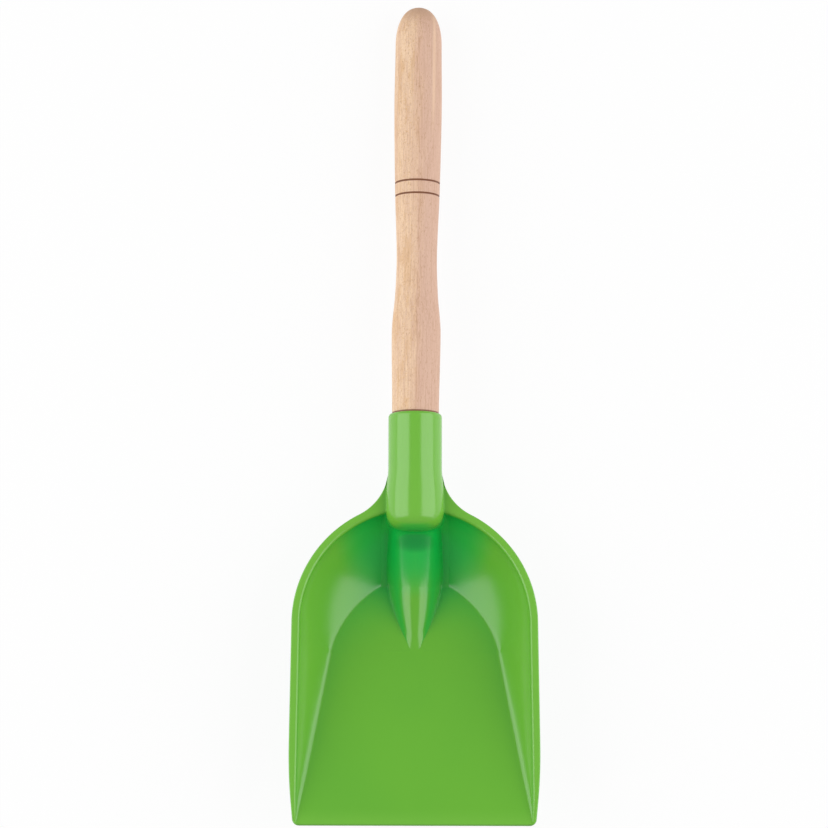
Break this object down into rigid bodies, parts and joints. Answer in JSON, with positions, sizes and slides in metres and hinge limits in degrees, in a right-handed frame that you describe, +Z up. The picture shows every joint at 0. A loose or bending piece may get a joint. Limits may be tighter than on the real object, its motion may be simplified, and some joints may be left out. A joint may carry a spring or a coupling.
{
  "type": "sand shovel",
  "caption": "Hand shovel for sand: a moulded scoop with a round shoulder, sloping floor and ridge, and a turned wooden handle fixed in its socket.",
  "frame": {"origin": "on the ground below the middle of the shovel's bounding box, with the shovel lying on its back", "axes": "+Y from the scoop's front edge towards the handle's tip, +X across the scoop, +Z up out of the scoop"},
  "size_m": [0.1242, 0.414, 0.0457],
  "materials": {
    "green_plastic": "smooth injection moulding with a soft gloss",
    "beech": "turned and sanded, with two burnt grooves",
    "zinc_steel": "zinc-plated screw"
  },
  "bodies": {
    "root": {"blade": "green_plastic", "handle": "beech", "fixing_screw": "zinc_steel"}
  },
  "joints": []
}
